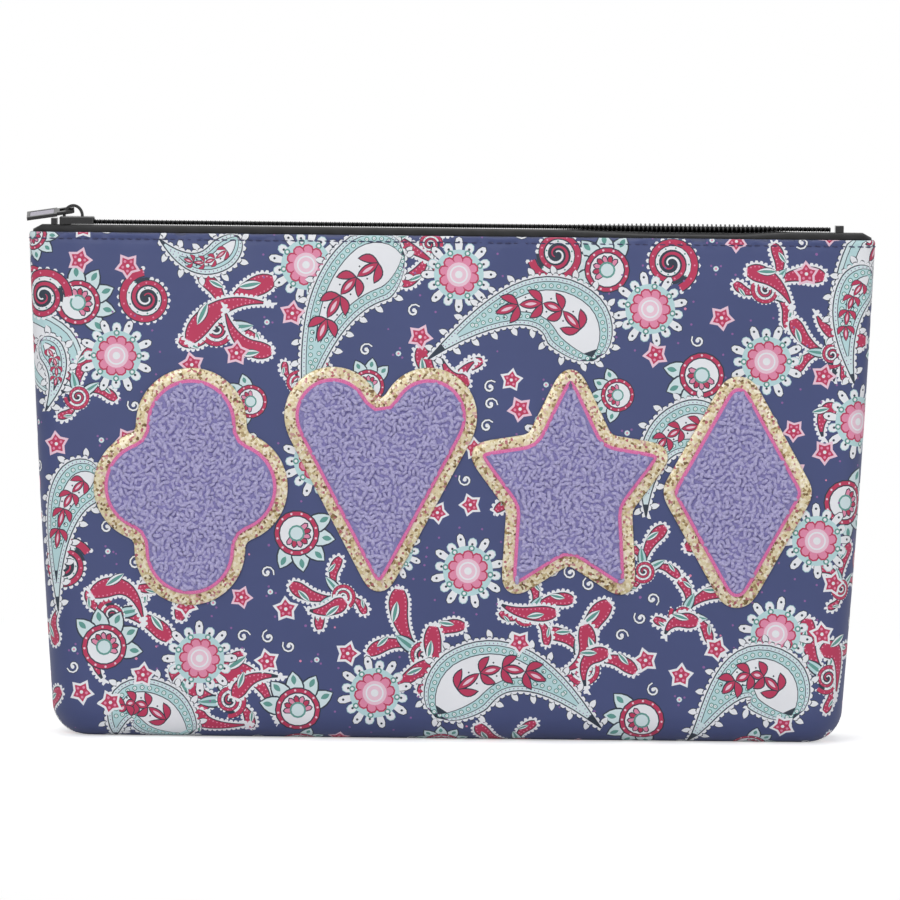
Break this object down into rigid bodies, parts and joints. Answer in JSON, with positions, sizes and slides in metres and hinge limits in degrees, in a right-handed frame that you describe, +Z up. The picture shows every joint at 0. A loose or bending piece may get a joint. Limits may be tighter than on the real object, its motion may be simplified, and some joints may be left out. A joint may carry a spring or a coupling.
{
  "type": "zip pouch",
  "caption": "Flat-front zip pouch with a boxed bottom, printed cloth, lining, coil zip with slider and pull, and raised chenille patches, for carrying game tiles.",
  "frame": {"origin": "middle of the base, on the surface that the bag stands on", "axes": "+X along the zip towards its open end, -Y out of the front with the patches, +Z up"},
  "size_m": [0.3061, 0.0517, 0.1908],
  "materials": {
    "printed_cloth": "smooth coated canvas with a paisley print",
    "lining_cloth": "thin woven lining",
    "zip_tape": "herringbone woven tape",
    "zip_coil": "glossy moulded coil",
    "zip_metal": "black enamel",
    "pull_metal": "black enamel with a worn face",
    "glitter_base": "gold glitter cloth",
    "felt_edge": "felt",
    "chenille": "looped chenille pile"
  },
  "bodies": {
    "bag": {"front_panel": "printed_cloth", "back_panel": "printed_cloth", "front_lining": "lining_cloth", "back_lining": "lining_cloth", "front_tape": "zip_tape", "back_tape": "zip_tape", "front_teeth": "zip_coil", "back_teeth": "zip_coil", "front_top_stop": "zip_metal", "back_top_stop": "zip_metal", "bottom_stop": "zip_metal", "flower_glitter": "glitter_base", "flower_felt": "felt_edge", "flower_pile": "chenille", "heart_glitter": "glitter_base", "heart_felt": "felt_edge", "heart_pile": "chenille", "star_glitter": "glitter_base", "star_felt": "felt_edge", "star_pile": "chenille", "diamond_glitter": "glitter_base", "diamond_felt": "felt_edge", "diamond_pile": "chenille"},
    "slider": {"slider_body": "zip_metal"},
    "pull": {"pull_tab": "pull_metal"}
  },
  "joints": [
    {"name": "slider_slide", "type": "slide", "parent": "bag", "child": "slider", "axis": [1, 0, 0], "range_m": [0, 0.2665], "deforming": ["front_teeth", "back_teeth"]},
    {"name": "pull_hinge", "type": "hinge", "parent": "slider", "child": "pull", "pos_m": [-0.1371, 0, 0.18873], "axis": [-0.0383, 0.9659, 0.256], "range_deg": [0, 180]}
  ]
}
